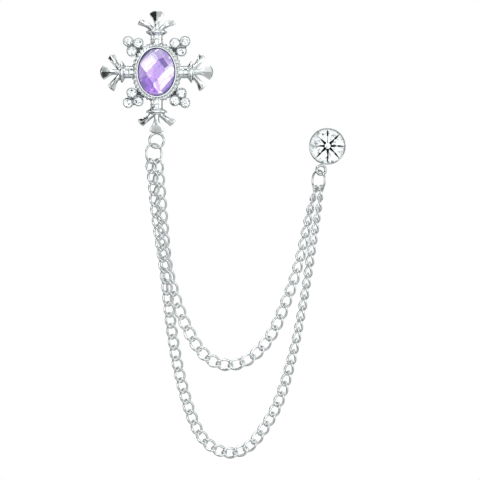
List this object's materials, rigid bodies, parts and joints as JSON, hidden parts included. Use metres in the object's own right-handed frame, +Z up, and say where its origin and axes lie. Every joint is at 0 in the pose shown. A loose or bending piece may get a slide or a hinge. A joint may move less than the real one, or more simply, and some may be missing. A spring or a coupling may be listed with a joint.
{
  "type": "lapel chain brooch",
  "caption": "Silver lapel chain: a brooch with an oval faceted purple stone, fleur arms and clear trefoils, joined by draped twisted curb chains to a round crystal stud.",
  "frame": {"origin": "centre of the brooch's flat back, where it is pinned to cloth", "axes": "+X to the wearer's left as seen from the front, towards the stud; +Z up; the front faces -Y and the cloth is behind at +Y"},
  "size_m": [0.082, 0.0132, 0.1493],
  "materials": {
    "silver": "polished silver plate",
    "chain_silver": "polished silver plate on wire",
    "steel": "satin",
    "purple_stone": "faceted, foil backed",
    "crystal": "faceted, foil backed"
  },
  "bodies": {
    "root": {"brooch_frame": "silver", "oval_stone": "purple_stone", "brooch_pin": "steel", "rhinestone_1": "crystal", "rhinestone_2": "crystal", "rhinestone_3": "crystal", "rhinestone_4": "crystal", "rhinestone_5": "crystal", "rhinestone_6": "crystal", "rhinestone_7": "crystal", "rhinestone_8": "crystal", "rhinestone_9": "crystal", "rhinestone_10": "crystal", "rhinestone_11": "crystal", "rhinestone_12": "crystal", "jump_ring_left": "silver", "inner_chain": "chain_silver", "outer_chain": "chain_silver", "jump_ring_right": "silver", "stud_cup": "silver", "stud_stone": "crystal"}
  },
  "joints": []
}
